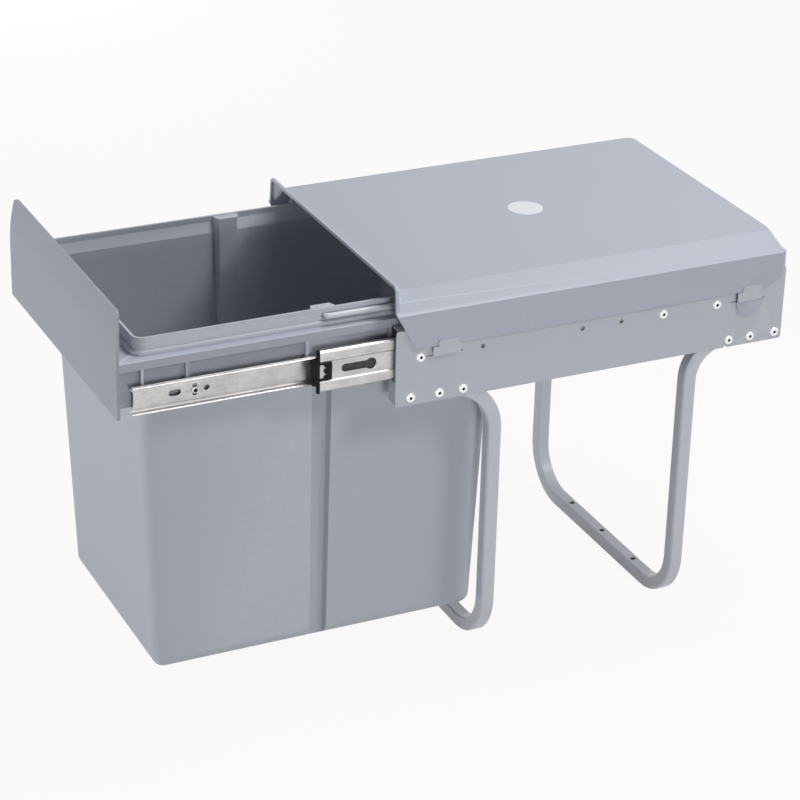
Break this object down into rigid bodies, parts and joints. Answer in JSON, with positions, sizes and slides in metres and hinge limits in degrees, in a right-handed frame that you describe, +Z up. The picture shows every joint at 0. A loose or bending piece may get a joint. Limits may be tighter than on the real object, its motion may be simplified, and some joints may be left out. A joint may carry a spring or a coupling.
{
  "type": "pull-out waste-bin unit",
  "caption": "Pull-out waste-bin unit for a kitchen base cabinet: fixed cover and leg frame, ball-bearing slides and a carriage with front plate and bin.",
  "frame": {"origin": "on the floor, midway between the four outer floor-screw holes", "axes": "+X right seen from the front, -Y the way the bin pulls out, +Z up"},
  "size_m": [0.2666, 0.589, 0.3634],
  "materials": {
    "cover_plastic": "fine matt moulded grey",
    "label_paper": "plain white",
    "tube_paint": "satin grey powder coat",
    "panel_steel": "satin grey powder coat",
    "rivet_metal": "bright",
    "carriage_plastic": "fine matt moulded grey",
    "plate_plastic": "fine matt moulded grey",
    "bin_plastic": "fine matt moulded grey",
    "screw_steel": "zinc plated",
    "slide_steel": "zinc plated, drawn along its length",
    "bumper_plastic": "black",
    "cage_steel": "bright",
    "ball_steel": "polished",
    "wire_paint": "satin grey"
  },
  "bodies": {
    "frame": {"lid": "cover_plastic", "lid_label": "label_paper", "side_panel_right": "panel_steel", "side_panel_left": "panel_steel", "front_leg": "tube_paint", "rear_leg": "tube_paint", "slide_outer_right": "slide_steel", "slide_outer_left": "slide_steel", "leg_rivets": "rivet_metal", "slide_rivets": "rivet_metal"},
    "middle_right": {"slide_middle_right": "slide_steel", "slide_bumper_right": "bumper_plastic"},
    "middle_left": {"slide_middle_left": "slide_steel", "slide_bumper_left": "bumper_plastic"},
    "outer_race_right": {"outer_cage_right": "cage_steel", "outer_balls_right": "ball_steel"},
    "outer_race_left": {"outer_cage_left": "cage_steel", "outer_balls_left": "ball_steel"},
    "inner_race_right": {"inner_cage_right": "cage_steel", "inner_balls_right": "ball_steel"},
    "inner_race_left": {"inner_cage_left": "cage_steel", "inner_balls_left": "ball_steel"},
    "carriage": {"carriage_frame": "carriage_plastic", "front_plate": "plate_plastic", "plate_screws": "screw_steel", "slide_inner_right": "slide_steel", "slide_inner_left": "slide_steel", "slide_screws": "screw_steel", "bin": "bin_plastic"},
    "bail": {"bail_handle": "wire_paint"}
  },
  "joints": [
    {"name": "middle_right_slide", "type": "slide", "parent": "frame", "child": "middle_right", "axis": [0, -1, 0], "range_m": [-0.0755, 0.0995]},
    {"name": "middle_left_slide", "type": "slide", "parent": "frame", "child": "middle_left", "axis": [0, -1, 0], "range_m": [-0.0755, 0.0995]},
    {"name": "outer_race_right_roll", "type": "slide", "parent": "frame", "child": "outer_race_right", "axis": [0, -1, 0], "range_m": [-0.03775, 0.04975]},
    {"name": "outer_race_left_roll", "type": "slide", "parent": "frame", "child": "outer_race_left", "axis": [0, -1, 0], "range_m": [-0.03775, 0.04975]},
    {"name": "carriage_slide", "type": "slide", "parent": "middle_right", "child": "carriage", "axis": [0, -1, 0], "range_m": [-0.1505, 0.0245]},
    {"name": "inner_race_right_roll", "type": "slide", "parent": "middle_right", "child": "inner_race_right", "axis": [0, -1, 0], "range_m": [-0.07525, 0.01225]},
    {"name": "inner_race_left_roll", "type": "slide", "parent": "middle_left", "child": "inner_race_left", "axis": [0, -1, 0], "range_m": [-0.07525, 0.01225]},
    {"name": "bail_hinge", "type": "hinge", "parent": "carriage", "child": "bail", "pos_m": [0, -0.2333, 0.324], "axis": [1, 0, 0], "range_deg": [0, 3]}
  ],
  "couplings": [
    {"joint": "middle_left_slide", "follows": "middle_right_slide", "ratio": 1},
    {"joint": "outer_race_right_roll", "follows": "middle_right_slide", "ratio": 0.5},
    {"joint": "outer_race_left_roll", "follows": "middle_right_slide", "ratio": 0.5},
    {"joint": "inner_race_right_roll", "follows": "carriage_slide", "ratio": 0.5},
    {"joint": "inner_race_left_roll", "follows": "carriage_slide", "ratio": 0.5}
  ]
}
